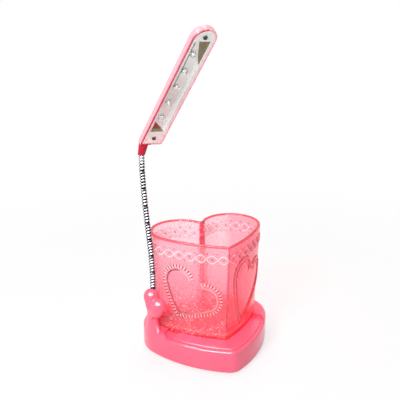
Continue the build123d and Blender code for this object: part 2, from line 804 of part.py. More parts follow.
save(base_plate, "base_plate")

with BuildPart() as rubber_feet:
    with BuildSketch():
        with Locations(*both_sides(pad_points)):
            Circle(pad_radius)
    extrude(amount=foot_height + pad_sink)
save(rubber_feet, "rubber_feet")

with BuildPart() as base_screws:
    head_top_z = foot_height + plate_thickness / 2
    with BuildSketch(Plane.XY.offset(head_top_z)):
        with Locations(*both_sides(screw_points)):
            Circle(screw_head_radius)
    extrude(amount=-(plate_thickness / 2 - screw_slot_depth / 2))
    with BuildSketch(Plane.XY.offset(head_top_z)):
        with Locations(*both_sides(screw_points)):
            Circle(pilot_radius - fixed_fit)
    extrude(amount=screw_length - plate_thickness / 2)
save(base_screws, "base_screws")

with BuildPart() as battery_door:
    with BuildSketch(Plane.XY.offset(foot_height)):
        with Locations((0, box_middle_y)):
            Rectangle(2 * (box_half_width - loose_fit), box_length - 2 * loose_fit)
    extrude(amount=plate_thickness)
    grip_middle_y = box_back_y - door_grip_count * door_grip_pitch
    with BuildSketch(Plane.XY.offset(foot_height)):
        with Locations((0, grip_middle_y)):
            with GridLocations(0, door_grip_pitch, 1, door_grip_count):
                Rectangle(door_grip_length, door_grip_width)
    extrude(amount=door_grip_depth, mode=Mode.SUBTRACT)
save(battery_door, "battery_door")

# Three cells in series, the middle one turned round
cell_front_y = box_front_y + contact_thickness + spring_reach
cell_places = [(-cell_pitch, 1), (0.0, -1), (cell_pitch, 1)]
for place, (cell_x, way) in enumerate(cell_places, start=1):
    flat_end_y = cell_front_y if way > 0 else box_back_y - contact_thickness - spring_reach
    with BuildPart() as cell:
        end_plane = Plane((cell_x, flat_end_y, cell_z), x_dir=(1, 0, 0), z_dir=(0, way, 0))
        with BuildSketch(end_plane):
            Circle(cell_radius)
        extrude(amount=cell_length)
        with BuildSketch(end_plane.offset(cell_length)):
            Circle(nub_radius)
        extrude(amount=nub_length)
    save(cell, f"battery_{place}")


def contact(plates, springs, back_wall):
    """Stamped contact: a strip on an end wall of the box, with a bent leaf for each flat end."""
    places = plates + springs
    low_x = min(places) - leaf_width / 2
    high_x = max(places) + leaf_width / 2
    wall_y = box_back_y if back_wall else box_front_y
    inward = -1 if back_wall else 1
    strip_y = wall_y + inward * contact_thickness
    tip_y = strip_y + inward * spring_reach
    low_z = cell_z - contact_height / 2
    high_z = cell_z + contact_height / 2
    with BuildPart() as strip:
        with Locations(((low_x + high_x) / 2, (wall_y + strip_y) / 2, cell_z)):
            Box(high_x - low_x, contact_thickness, contact_height)
        for spring_x in springs:
            with BuildSketch(Plane.YZ.offset(spring_x - leaf_width / 2)):
                with BuildLine():
                    Polyline(
                        (strip_y, low_z),
                        (tip_y, cell_z - leaf_tip),
                        (tip_y, cell_z + leaf_tip),
                        (strip_y, high_z),
                        (strip_y, high_z - contact_thickness),
                        (tip_y - inward * contact_thickness, cell_z),
                        (strip_y, low_z + contact_thickness),
                        close=True,
                    )
                make_face()
            extrude(amount=leaf_width)
    return strip


save(contact([], [-cell_pitch], False), "contact_negative")
save(contact([-cell_pitch], [0.0], True), "contact_bridge_rear")
save(contact([0.0], [cell_pitch], False), "contact_bridge_front")
save(contact([cell_pitch], [], True), "contact_positive")

# Slide switch behind the left lobe, and its knob
with BuildPart() as switch_body:
    with Locations((switch_x, switch_middle_y, switch_middle_z)):
        Box(*switch_size)
    with Locations((switch_x, switch_front_y - knob_pocket / 2, switch_middle_z)):
        Box(slot_width, knob_pocket, slot_height, mode=Mode.SUBTRACT)
save(switch_body, "switch_body")

with BuildPart() as switch_knob:
    knob_back_y = switch_front_y - knob_pocket + loose_fit
    knob_front_y = switch_wall_y + knob_proud
    with Locations((knob_rest_x, (knob_back_y + knob_front_y) / 2, switch_middle_z)):
        Box(knob_size[0], knob_front_y - knob_back_y, knob_size[2])
    tips = switch_knob.faces().sort_by(Axis.Y)[-1].edges()
    fillet(tips, knob_proud / 4)
save(switch_knob, "switch_knob")

# Small board with the resistor, and the wires that meet there
with BuildPart() as circuit_board:
    with Locations((*circuit_middle, circuit_low_z + circuit_size[2] / 2)):
        Box(*circuit_size)
save(circuit_board, "circuit_board")

circuit_top_z = circuit_low_z + circuit_size[2]
with BuildPart() as resistor:
    with BuildSketch(Plane.YZ.offset(circuit_middle[0] - resistor_length / 2)):
        with Locations((circuit_middle[1], circuit_top_z + resistor_radius)):
            Circle(resistor_radius)
    extrude(amount=resistor_length)
save(resistor, "resistor")


def wire(points, name):
    """Insulated wire along straight runs with rounded corners."""
    with BuildPart() as strand:
        with BuildLine() as route:
            FilletPolyline(*points, radius=wire_bend)
        with BuildSketch(Plane(route.line @ 0, z_dir=route.line % 0)):
            Circle(lead_radius)
        sweep()
    save(strand, name)


lead_z = circuit_top_z + lead_radius
lead_bottom = on_neck_foot(lead_z)
lead_top = neck_joints[0] + neck_direction(1) * ball_radius
neck_pad_point, switch_pad_point, battery_pad_point = [
    (circuit_middle[0] + pad[0], circuit_middle[1] + pad[1], lead_z) for pad in (neck_pad, switch_pad, battery_pad)
]
wire([lead_top, lead_bottom, neck_pad_point], "base_lead")
switch_back = (switch_x, switch_middle_y - switch_size[1] / 2, lead_z)
wire([switch_back, (switch_x, switch_back[1] - switch_wire_run, lead_z), switch_pad_point], "switch_lead")
box_side_x = -box_outer_half
wire(
    [
        (box_side_x, box_middle_y, lead_z),
        (box_side_x - battery_wire_run, box_middle_y, lead_z),
        battery_pad_point,
    ],
    "battery_lead",
)

print("neck joints:", [tuple(round(v, 3) for v in joint) for joint in neck_joints])
print("neck top:", neck_top, "lead turn:", lead_turn, "face:", face_plane.origin)
print("face x:", face_plane.x_dir, "along:", face_plane.y_dir, "out:", face_plane.z_dir)
print("cell box:", box_half_width, box_front_y, box_back_y, plate_top_z, box_top_z)
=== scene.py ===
# %% [markdown]
# # A heart-shaped desk lamp, dressed in Blender
# The lamp's solids come from CAD as a fixed frame: a heart-shaped base, a pen cup, a gooseneck and a
# slim head with five LEDs. This lesson keeps every solid where it is and gives each one its finish.
# Pieces that the solids only sketch, such as the pressed-in ornament of the cup, the chrome winding
# and the LEDs, are modelled again here in more detail.

import json
from math import acos, atan2, cos, hypot, pi, radians, sin, sqrt

import bpy
import numpy as np
from mathutils import Matrix, Vector

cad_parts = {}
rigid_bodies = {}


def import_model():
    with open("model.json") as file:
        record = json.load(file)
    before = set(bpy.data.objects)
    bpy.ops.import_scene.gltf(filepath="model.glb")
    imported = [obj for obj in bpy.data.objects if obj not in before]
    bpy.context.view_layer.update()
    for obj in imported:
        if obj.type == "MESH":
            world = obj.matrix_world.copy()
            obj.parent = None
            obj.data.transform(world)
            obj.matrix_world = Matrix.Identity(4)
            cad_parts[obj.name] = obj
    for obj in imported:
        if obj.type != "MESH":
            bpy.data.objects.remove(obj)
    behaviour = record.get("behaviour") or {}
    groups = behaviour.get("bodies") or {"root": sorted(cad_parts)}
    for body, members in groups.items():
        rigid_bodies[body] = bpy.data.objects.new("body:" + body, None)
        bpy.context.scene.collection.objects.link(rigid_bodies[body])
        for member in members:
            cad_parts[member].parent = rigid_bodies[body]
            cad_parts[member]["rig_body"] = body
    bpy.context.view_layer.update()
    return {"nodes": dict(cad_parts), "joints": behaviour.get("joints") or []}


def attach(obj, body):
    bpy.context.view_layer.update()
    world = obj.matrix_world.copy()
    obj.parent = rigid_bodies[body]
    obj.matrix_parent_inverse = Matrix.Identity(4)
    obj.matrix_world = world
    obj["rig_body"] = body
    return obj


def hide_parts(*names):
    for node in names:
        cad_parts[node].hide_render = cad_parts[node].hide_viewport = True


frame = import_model()
nodes = frame["nodes"]
MM = 0.001

# %% [markdown]
# ## Camera
# The photograph looks down at the lamp from its left front. A camera is easiest to copy when its
# three directions are known, so the right, up and backward directions fill a rotation matrix.
# The lens is a short telephoto, which keeps the lamp's uprights almost parallel.

# %% Camera at the photograph's place
camera_data = bpy.data.cameras.new("camera")
camera = bpy.data.objects.new("camera", camera_data)
bpy.context.scene.collection.objects.link(camera)
camera_right = Vector((0.93583, -0.35246, 0.0))
camera_up = Vector((0.10932, 0.29026, 0.95068))
camera_back = camera_right.cross(camera_up)
place = Matrix((camera_right, camera_up, camera_back)).transposed().to_4x4()
place.translation = Vector((-0.20542, -0.51730, 0.32658))
camera.matrix_world = place
camera_data.sensor_fit = "HORIZONTAL"
camera_data.sensor_width = 36.0
camera_data.lens = 58.43
camera_data.clip_start = 0.01
bpy.context.scene.camera = camera
print("camera at", tuple(round(c, 3) for c in camera.location))

# %% [markdown]
# ## Studio
# The lamp stands on white. A large floor and a white world give that, and the Light Path node lets
# the world look pure white to the camera and in reflections while it lights the lamp more softly.
# A soft lamp from the left front gives the lamp its light side, a weaker one fills the right side,
# and one above lights the cup from inside. The wide panel called gleam is hidden from matte light, so
# it only draws the long highlights on glossy plastic.

# %% Light level, and small helpers for shader nodes
bpy.context.scene.view_settings.view_transform = "Standard"


def start_finish(name):
    """A new material with an empty node tree apart from its output."""
    material = bpy.data.materials.new(name)
    material.use_nodes = True
    tree = material.node_tree
    tree.nodes.clear()
    output = tree.nodes.new("ShaderNodeOutputMaterial")
    return material, tree, output


def sum_node(tree, operation, first, second=None):
    """A Math node fed by sockets or plain numbers."""
    node = tree.nodes.new("ShaderNodeMath")
    node.operation = operation
    for slot, value in enumerate((first, second)):
        if isinstance(value, (int, float)):
            node.inputs[slot].default_value = value
        elif value is not None:
            tree.links.new(value, node.inputs[slot])
    return node.outputs[0]


def product(tree, first, *others):
    """Sockets and plain numbers multiplied together."""
    for other in others:
        first = sum_node(tree, "MULTIPLY", first, other)
    return first


def rescale(tree, value, low, high, start=0.0, end=1.0):
    """A value that goes from start to end, made to go from low to high instead."""
    node = tree.nodes.new("ShaderNodeMapRange")
    for name, limit in (("From Min", start), ("From Max", end), ("To Min", low), ("To Max", high)):
        node.inputs[name].default_value = limit
    tree.links.new(value, node.inputs["Value"])
    return node.outputs["Result"]


def shader_mix(tree, factor, first, second, output):
    """One shader where the factor is zero and another where it is one, as the surface."""
    mix = tree.nodes.new("ShaderNodeMixShader")
    tree.links.new(factor, mix.inputs["Fac"])
    tree.links.new(first.outputs[0], mix.inputs[1])
    tree.links.new(second.outputs[0], mix.inputs[2])
    tree.links.new(mix.outputs[0], output.inputs["Surface"])


def look_for_white(tree):
    """One where a camera, glossy or transmitted ray looks, otherwise zero."""
    path = tree.nodes.new("ShaderNodeLightPath")
    seen = sum_node(tree, "MAXIMUM", path.outputs["Is Camera Ray"], path.outputs["Is Glossy Ray"])
    return sum_node(tree, "MAXIMUM", seen, path.outputs["Is Transmission Ray"])


print("light level:", bpy.context.scene.view_settings.view_transform)

# %% White floor and world
bpy.ops.object.select_all(action="DESELECT")
bpy.ops.mesh.primitive_plane_add(size=60.0, location=(0, 0, 0))
floor = bpy.context.active_object
floor.name = "studio_floor"
floor_paint, tree, output = start_finish("studio_floor_paint")
floor_matte = tree.nodes.new("ShaderNodeBsdfDiffuse")
floor_matte.inputs["Color"].default_value = (0.93, 0.93, 0.93, 1)
floor_glow = tree.nodes.new("ShaderNodeEmission")
floor_glow.inputs["Strength"].default_value = 1.0
spot = tree.nodes.new("ShaderNodeTexCoord")
away = tree.nodes.new("ShaderNodeVectorMath")
away.operation = "LENGTH"
tree.links.new(spot.outputs["Object"], away.inputs[0])
shadow_start, shadow_end, glow_in_shadow = 0.08, 0.55, 0.70
fade = rescale(tree, away.outputs["Value"], glow_in_shadow, 1.0, shadow_start, shadow_end)
shader_mix(tree, product(tree, look_for_white(tree), fade), floor_matte, floor_glow, output)
floor.data.materials.append(floor_paint)

world = bpy.data.worlds.new("studio")
bpy.context.scene.world = world
world.use_nodes = True
tree = world.node_tree
tree.nodes.clear()
output = tree.nodes.new("ShaderNodeOutputWorld")
soft_sky = tree.nodes.new("ShaderNodeBackground")
white_sky = tree.nodes.new("ShaderNodeBackground")
for sky, strength in ((soft_sky, 0.32), (white_sky, 1.0)):
    sky.inputs["Color"].default_value = (1, 1, 1, 1)
    sky.inputs["Strength"].default_value = strength
shader_mix(tree, look_for_white(tree), soft_sky, white_sky, output)
print("floor and world are white to the camera")

# %% Soft lamps


def softbox(name, place, aim, size, power):
    """A square soft lamp at a place, pointed at another."""
    data = bpy.data.lights.new(name, "AREA")
    data.size = size
    data.energy = power
    lamp = bpy.data.objects.new(name, data)
    bpy.context.scene.collection.objects.link(lamp)
    lamp.location = place
    lamp.rotation_euler = (Vector(aim) - Vector(place)).to_track_quat("-Z", "Y").to_euler()
    return lamp


softbox("key_left", (-0.95, -0.75, 0.85), (0, 0, 0.08), 0.35, 14.0)
softbox("fill_right", (0.9, -0.8, 0.6), (0, 0, 0.1), 0.7, 0.2)
softbox("top", (0.1, 0.25, 1.2), (0, 0, 0.1), 0.5, 6.0)
gleam = softbox("gleam", (-0.60, -0.72, 1.12), (0, 0, 0.05), 1.8, 150.0)
gleam.data.shape = "RECTANGLE"
gleam.data.size_y = 1.1
gleam.visible_diffuse = False
gleam.visible_transmission = False
print("lamps:", ", ".join(lamp.name for lamp in bpy.data.lights))

# %% [markdown]
# ## Helpers for pieces and finishes
# A CAD solid arrives as loose triangles. Where it is shown as it is, a copy with its points merged
# shades more smoothly, so the copy takes the solid's place. Most finishes share one idea: a slow
# noise drifts the colour, a finer noise drifts the roughness, and a very fine one gives the bump of
# a moulded or rolled surface.

# %% Copies of solids, and the shared finish
merge_gap, grain_depth = 0.01 * MM, 0.4 * MM


def smooth_copy(node, angle=32.0):
    """A merged, smoothly shaded copy of a solid that stands in its place."""
    bpy.ops.object.select_all(action="DESELECT")
    copy = nodes[node].copy()
    copy.data = nodes[node].data.copy()
    copy.name = node + "_dressed"
    copy.parent = None
    bpy.context.scene.collection.objects.link(copy)
    bpy.context.view_layer.objects.active = copy
    copy.select_set(True)
    if copy.data.has_custom_normals:
        bpy.ops.mesh.customdata_custom_splitnormals_clear()
    bpy.ops.object.mode_set(mode="EDIT")
    bpy.ops.mesh.select_all(action="SELECT")
    bpy.ops.mesh.remove_doubles(threshold=merge_gap)
    bpy.ops.object.mode_set(mode="OBJECT")
    bpy.ops.object.shade_smooth_by_angle(angle=radians(angle))
    for key in list(copy.keys()):
        del copy[key]
    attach(copy, nodes[node]["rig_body"])
    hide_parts(node)
    return copy


def object_noise(tree, scale, detail=3.0):
    """Noise that sits still on the piece, with so many features to the metre."""
    where = tree.nodes.new("ShaderNodeTexCoord")
    noise = tree.nodes.new("ShaderNodeTexNoise")
    noise.inputs["Scale"].default_value = scale
    noise.inputs["Detail"].default_value = detail
    tree.links.new(where.outputs["Object"], noise.inputs["Vector"])
    return noise.outputs["Fac"]


def raise_skin(tree, shader, height, strength, depth):
    """Bump on a shader's surface, from a height between 0 and 1."""
    relief = tree.nodes.new("ShaderNodeBump")
    relief.inputs["Strength"].default_value = strength
    relief.inputs["Distance"].default_value = depth
    tree.links.new(height, relief.inputs["Height"])
    tree.links.new(relief.outputs["Normal"], shader.inputs["Normal"])


def finish(name, colour, drift, rough, metallic=0.0, grain=900.0, bump=0.05, coat=0.0, slow=28.0):
    """Colour that drifts a little, roughness between two values, and a fine bump."""
    material, tree, output = start_finish(name)
    shader = tree.nodes.new("ShaderNodeBsdfPrincipled")
    tree.links.new(shader.outputs[0], output.inputs["Surface"])
    shader.inputs["Metallic"].default_value = metallic
    shader.inputs["Coat Weight"].default_value = coat
    shader.inputs["Coat Roughness"].default_value = 0.06
    ramp = tree.nodes.new("ShaderNodeValToRGB")
    for stop, place, shade in zip(ramp.color_ramp.elements, (0.3, 0.7), (colour, drift)):
        stop.position = place
        stop.color = (*shade, 1)
    tree.links.new(object_noise(tree, slow, 2.0), ramp.inputs["Fac"])
    tree.links.new(ramp.outputs["Color"], shader.inputs["Base Color"])
    fine = object_noise(tree, grain, 4.0)
    tree.links.new(rescale(tree, fine, *rough), shader.inputs["Roughness"])
    raise_skin(tree, shader, fine, bump, grain_depth)
    return material


def dress(piece, material):
    """The piece wears one finish all over."""
    piece.data.materials.clear()
    piece.data.materials.append(material)


def finish_shader(material):
    """The Principled shader inside a finish."""
    return next(n for n in material.node_tree.nodes if n.type == "BSDF_PRINCIPLED")


print("solids that can be copied:", len(nodes))

# %% [markdown]
# ## Coral plastic of the base
# The base and the puffed heart are moulded in one opaque, very glossy coral pink. Glossy plastic is a
# coloured body under a clear, sharp skin, so the finish has a thin coat, and a little light travels
# under the surface to keep the shaded side warm. The solid heart is a few rounded drops that meet in
# sharp lines. A fine voxel remesh and a short smoothing melt those lines into one puffed skin.

# %% Base housing and heart post
coral = finish(
    "coral_gloss", (0.90, 0.132, 0.222), (0.94, 0.152, 0.252), (0.13, 0.19), grain=700, bump=0.02, coat=0.10
)
coral_shader = finish_shader(coral)
coral_shader.inputs["Specular IOR Level"].default_value = 0.32
coral_shader.inputs["Subsurface Weight"].default_value = 0.12
coral_shader.inputs["Subsurface Radius"].default_value = (0.004, 0.0012, 0.0012)
coral_shader.inputs["Subsurface Scale"].default_value = 1.0
base_skin = smooth_copy("base_housing")
dress(base_skin, coral)
post_skin = smooth_copy("heart_post", 50.0)
dress(post_skin, coral)
bpy.ops.object.select_all(action="DESELECT")
bpy.context.view_layer.objects.active = post_skin
post_skin.select_set(True)
post_skin.data.remesh_voxel_size = 0.35 * MM
bpy.ops.object.voxel_remesh()
soften = post_skin.modifiers.new("soften", "SMOOTH")
soften.factor = 0.5
soften.iterations = 14
bpy.ops.object.modifier_apply(modifier="soften")
bpy.ops.object.shade_smooth_by_angle(angle=radians(40))
print("base:", len(base_skin.data.polygons), "faces, heart:", len(post_skin.data.polygons), "faces")

# %% [markdown]
# ## Pen cup
# The cup is pressed in see-through pink plastic, with a lace band under its rim, a leaning heart with
# a beaded border on its left front and a taller, smooth heart on its right front. A flat grid is the
# simplest start: its columns wrap round the heart outline and its rows climb the outside, roll over
# the rim and go down the inside. The ornament is then pushed out of the wall, row by row.

# %% Heart outline of the cup
lobe_x, lobe_y, lobe_r, tip_y, side_r, cleft_r = 25.3, 12.9, 27.9, -44.5, 150.0, 2.0
cup_foot_z, cup_tall, cup_draft, cup_wall, cup_floor = 22.0, 94.0, 4.0, 2.6, 3.0


def side_centre(lx, ly, lr, ty, sr):
    """Centre of the arc between a heart's tip and its right lobe."""
    span = hypot(lx, ly - ty)
    bearing = atan2(ly - ty, lx)
    spread = acos((sr**2 + span**2 - (sr - lr) ** 2) / (2 * sr * span))
    return sr * cos(bearing + spread), ty + sr * sin(bearing + spread)


side_x, side_y = side_centre(lobe_x, lobe_y, lobe_r, tip_y, side_r)
cleft_y = lobe_y + sqrt((lobe_r + cleft_r) ** 2 - lobe_x**2)
side_end = atan2(lobe_y - side_y, lobe_x - side_x)
lobe_end = atan2(cleft_y - lobe_y, -lobe_x)
side_start = atan2(tip_y - side_y, -side_x)
side_long = side_r * (side_end - side_start)
lobe_long = lobe_r * (lobe_end - side_end)
cleft_turn = lobe_end - radians(90)
cleft_long = cleft_r * cleft_turn
half_long = side_long + lobe_long + cleft_long


def wall_point(along, grow):
    """Points of the heart outline, by distance from its tip, after the outline has grown."""
    reach = np.minimum(np.abs(along), half_long)
    way = np.where(along < 0, -1.0, 1.0)
    start = np.arctan2(-np.sqrt((side_r + grow) ** 2 - side_x**2), -side_x)
    on_side = start + np.clip(reach / side_long, 0, 1) * (side_end - start)
    on_lobe = side_end + np.clip((reach - side_long) / lobe_r, 0, lobe_end - side_end)
    back = np.clip((reach - side_long - lobe_long) / cleft_long, 0, 1) * cleft_turn
    on_cleft = lobe_end + pi - back
    first = reach <= side_long
    second = reach <= side_long + lobe_long
    turn = np.where(first, on_side, np.where(second, on_lobe, on_cleft))
    radius = np.where(first, side_r + grow, np.where(second, lobe_r + grow, cleft_r - grow))
    x = np.where(first, side_x, np.where(second, lobe_x, 0.0)) + radius * np.cos(turn)
    y = np.where(first, side_y, np.where(second, lobe_y, cleft_y)) + radius * np.sin(turn)
    return way * x, y


print("cup outline:", round(2 * half_long, 1), "mm round")

# %% [markdown]
# The ornament is a height over the unrolled wall. Each heart is described by its distance field:
# negative inside, zero on its outline. A ridge, a bead row or a plateau is then a short formula in
# that distance, which keeps the border the same width all the way round.

# %% Smooth steps, ridges and the distance field of a heart


def step(low, high, value):
    """Smooth rise from 0 to 1 between two values."""
    t = np.clip((value - low) / (high - low), 0, 1)
    return t * t * (3 - 2 * t)


def ridge(distance, half):
    """Rounded ridge of a half width."""
    return np.sqrt(np.clip(1 - (distance / half) ** 2, 0, 1))


def heart_field(x, y, shape):
    """Distance to a heart's outline, and the distance travelled along it from the tip."""
    lx, ly, lr, ty, sr, cr = shape
    ax, ay = side_centre(lx, ly, lr, ty, sr)
    cy = ly + sqrt((lr + cr) ** 2 - lx**2)
    x = np.abs(x)
    begin = atan2(ty - ay, -ax)
    end = atan2(ly - ay, lx - ax)
    to_side = np.hypot(x - ax, y - ay) - sr
    to_lobe = np.hypot(x - lx, y - ly) - lr
    to_cleft = cr - np.hypot(x, y - cy)
    below = (lx - ax) * (y - ay) - (ly - ay) * (x - ax) < 0
    inner = (-lx) * (y - ly) - (cy - ly) * (x - lx) > 0
    far = np.where(below, to_side, np.where(inner & (y > ly), to_cleft, to_lobe))
    on_side = sr * (np.arctan2(y - ay, x - ax) - begin)
    on_lobe = sr * (end - begin) + lr * (np.arctan2(y - ly, x - lx) - end)
    return far, np.where(below, on_side, on_lobe)


tip_gap, _ = heart_field(0.0, tip_y, (lobe_x, lobe_y, lobe_r, tip_y, side_r, cleft_r))
print("the cup's tip is", round(float(tip_gap), 6), "mm from the cup's outline")

# %% Ornament heights
# A heart is its lobe's x, y and radius, its tip's y, and the radii of its sides and its cleft.
left_heart = (15.2, 8.0, 15.2, -23.3, 90.0, 2.0)
right_heart = (15.0, 16.0, 17.0, -33.0, 110.0, 2.0)
# A heart's place is the distance from the cup's front edge, the height and the lean in degrees.
left_place, right_place = (-38.3, 40.9, 28.3), (33.0, 39.6, 20.0)
left_rib, right_rib, bead_pitch, foot_line = 3.7, 5.6, 3.1, 7.5
lace_drop, lace_wave, lace_swing, lace_dot = 13.0, 20.6, 3.6, 4.6


def pressed_heart(along, up, heart, place):
    """Distance to a heart that stands on the unrolled wall, and the distance travelled along it."""
    middle, height, lean = place
    across, rise, tilt = along - middle, up - height, radians(lean)
    x = across * cos(tilt) - rise * sin(tilt)
    y = across * sin(tilt) + rise * cos(tilt)
    return heart_field(x, y, heart)


def beads(run):
    """A bead row along an outline: one on each bead and zero between two."""
    return 0.5 + 0.5 * np.cos(2 * pi * run / bead_pitch)


def lace_places(along, up):
    """Height over the lace's middle line, its wave there, and the ways to the next loop and dot."""
    quarter = lace_wave / 4
    wave = lace_swing * np.sin(2 * pi * along / lace_wave)
    to_loop = np.mod(along, 2 * quarter) - quarter
    to_dot = np.mod(along + quarter, 2 * quarter) - quarter
    return up - (cup_tall - lace_drop), wave, to_loop, to_dot


def ornament(along, up):
    """How far the pressed pattern stands out of the wall, in millimetres."""
    far, run = pressed_heart(along, up, left_heart, left_place)
    smooth, _ = pressed_heart(along, up, right_heart, right_place)
    lace, wave, to_loop, to_dot = lace_places(along, up)
    beaded = [
        0.85 * beads(run) * ridge(far + 1.0, 1.5),
        0.45 * (1 - beads(run)) * ridge(far - 1.3, 1.3),
        0.8 * ridge(far + left_rib, 0.9),
        0.35 * step(-4.5, -9.0, far),
    ]
    plain = [
        0.9 * step(-3.6, -2.9, smooth) * step(0.2, -0.5, smooth),
        0.7 * ridge(smooth + right_rib, 0.8),
        0.35 * step(-6.5, -12.0, smooth),
    ]
    band = [
        0.7 * ridge(lace - wave, 0.75),
        0.7 * ridge(lace + wave, 0.75),
        0.8 * ridge(np.hypot(to_loop, lace), 1.25),
        0.6 * ridge(np.hypot(to_dot, lace - lace_dot), 0.9),
        0.6 * ridge(np.hypot(to_dot, lace + lace_dot), 0.9),
    ]
    return np.maximum.reduce(beaded + plain + band + [0.5 * ridge(up - foot_line, 0.8)])


print("lace loops round the cup:", round(4 * half_long / lace_wave, 1))

# %% [markdown]
# The same distances say where the finish changes. Each pattern gets painted shade as deep red lines in
# the valleys beside a ridge, and a painted highlight on the ridge itself.

# %% Painted shade lines and highlights of each pattern


def left_heart_marks(along, up):
    """Painted shade lines, painted highlights and the pebbled field of the beaded heart, each 0 to 1."""
    far, run = pressed_heart(along, up, left_heart, left_place)
    # Painted shade: the rib on the heart's left and lower parts, and the gaps between beads. Painted
    # highlights: the rib elsewhere, and each bead.
    shaded = np.maximum(step(-42.0, -48.0, along), 0.75 * step(29.0, 25.0, up))
    deep = ridge(far + left_rib, 1.05) * shaded
    deep = np.maximum(deep, step(0.55, 0.3, beads(run)) * ridge(far + 0.2, 2.1))
    crest = 0.5 * ridge(far + left_rib, 0.75) * (1 - shaded)
    crest = np.maximum(crest, 0.85 * step(0.6, 0.85, beads(run)) * ridge(far + 0.4, 1.6))
    return deep, crest, step(-4.5, -5.5, far)


def right_heart_marks(along, up):
    """Painted shade lines and painted highlights of the smooth heart, each from 0 to 1."""
    far, _ = pressed_heart(along, up, right_heart, right_place)
    border = np.maximum(ridge(far - 0.1, 0.6), ridge(far + 3.4, 0.7))
    between = step(-3.4, -2.9, far) * step(0.1, -0.4, far)
    deep = np.maximum.reduce([0.95 * border, 0.7 * ridge(far + right_rib, 0.5), 0.4 * between])
    return deep, 0.5 * ridge(far - 1.3, 0.5)


def lace_marks(along, up):
    """Painted shade in the loops, the dots and under the threads, and painted highlights on the threads,
    each 0 to 1.
    """
    lace, wave, to_loop, to_dot = lace_places(along, up)
    threads = np.maximum(ridge(lace - wave, 0.6), ridge(lace + wave, 0.6))
    thread_shadows = np.maximum(ridge(lace - wave + 1.1, 0.5), ridge(lace + wave + 1.1, 0.5))
    loops = ridge(np.hypot(to_loop, lace), 1.1)
    upper_dots = ridge(np.hypot(to_dot, lace - lace_dot), 0.9)
    lower_dots = ridge(np.hypot(to_dot, lace + lace_dot), 0.9)
    dots = np.maximum(upper_dots, lower_dots)
    deep = np.maximum.reduce([0.95 * loops, 0.9 * dots, 0.5 * thread_shadows])
    return deep * (1 - 0.85 * threads), 0.85 * threads


print("marks are ready for the left heart, the right heart and the lace")


# %% [markdown]
# The grid's own x runs once round the cup and its y runs from the outer foot, over the rim, to the
# inner floor. The seam at the cleft is merged, and the two heart-shaped openings at the foot are
# filled, which gives the cup its thick floor.

# %% Wrap the grid into the cup
columns, climb_rows, rim_rows, lace_rows, inner_rows = 540, 142, 7, 24, 30
rim_fade, seam_fade, lace_depth = 2.5, 3.0, 19.0
all_rows = climb_rows + rim_rows + inner_rows
bpy.ops.object.select_all(action="DESELECT")
bpy.ops.mesh.primitive_grid_add(
    x_subdivisions=columns, y_subdivisions=all_rows, size=2.0, location=(0, 0, 0)
)
cup = bpy.context.active_object
cup.name = "cup_pressed"
flat = np.zeros(len(cup.data.vertices) * 3)
cup.data.vertices.foreach_get("co", flat)
flat = flat.reshape(-1, 3)
along = flat[:, 0] * half_long
row = (flat[:, 1] + 1) / 2 * all_rows
climbing, falling = row <= climb_rows, row > climb_rows + rim_rows
rim_turn = np.clip((row - climb_rows) / rim_rows, 0, 1) * pi
rim_round = cup_wall / 2
straight = cup_tall - rim_round
up_outside = np.clip(row / climb_rows, 0, 1) * straight
inner_depths = (0, lace_depth, straight - cup_floor)
down_inside = np.interp(row - climb_rows - rim_rows, (0, lace_rows, inner_rows), inner_depths)
up = np.where(climbing, up_outside, straight + rim_round * np.sin(rim_turn) - down_inside)
inward = rim_round * (1 - np.cos(rim_turn))
below_rim = step(0.0, rim_fade, straight - up)
outside, inside = below_rim * climbing, below_rim * falling
lift = ornament(along, up) * outside * step(0.0, seam_fade, half_long - np.abs(along))
grow = -cup_draft * (1 - up / cup_tall) - inward + lift
x, y = wall_point(along, grow)
shaped = np.stack([x, y, cup_foot_z + up], axis=1) * MM
cup.data.vertices.foreach_set("co", shaped.ravel())
print("highest relief on the cup:", round(float(lift.max()), 2), "mm")

# %% Marks that the finish reads
left_shade, left_highlight, pebbly = left_heart_marks(along, up)
right_shade, right_highlight = right_heart_marks(along, up)
lace_shade, lace_highlight = lace_marks(along, up)
# Painted shade under the foot line, and a painted highlight on its top.
foot_shade, foot_highlight = 0.45 * ridge(up - 6.6, 0.7), 0.25 * ridge(up - 7.7, 0.7)
deep = np.maximum.reduce([left_shade, 0.45 * right_shade, lace_shade, foot_shade]) * outside
crest = np.maximum.reduce([left_highlight, right_highlight, lace_highlight, foot_highlight]) * outside * (1 - deep)
# Inside, the lace's painted shade and highlights are repeated faintly.
deep = np.maximum(deep, 0.7 * lace_shade * inside)
crest = np.maximum(crest, 0.4 * lace_highlight * inside)
# Painted deep red where light crosses the most plastic: the rim, the front edge, the cleft, and the smooth
# heart's shade lines.
on_rim = (row > climb_rows - 1.5) * (row < climb_rows + rim_rows + 0.6)
front_edge = np.exp(-((along / 1.1) ** 2)) * climbing
in_cleft = step(half_long - 1.3, half_long - 0.5, np.abs(along))
rich = np.maximum.reduce([0.9 * on_rim, 0.95 * front_edge, 0.95 * in_cleft, right_shade * outside])
low_left = step(26.0, 16.0, up) * step(0.0, -6.0, along) * step(-70.0, -60.0, along)
grainy = (0.3 + 0.7 * np.maximum(pebbly * step(55.0, 40.0, up), low_left)) * outside
grainy = np.maximum(grainy, 0.35 * inside)
# Painted: the right face, on the side away from the key lamp, gets a deeper red; the wall also turns deeper
# pink towards the bottom.
right_face = step(0.0, 1.5, along) * step(half_long - 30.0, half_long - 45.0, along)
warm = np.maximum(right_face, 0.68 * step(88.0, 38.0, up)) * outside
marks = {"deep": deep, "crest": crest, "grainy": grainy, "warm": warm, "rich": rich}
for name, values in marks.items():
    mark = cup.data.attributes.new(name, "FLOAT", "POINT")
    mark.data.foreach_set("value", values.astype(np.float32))
cup.data.update()
print("marks on the cup:", ", ".join(marks))

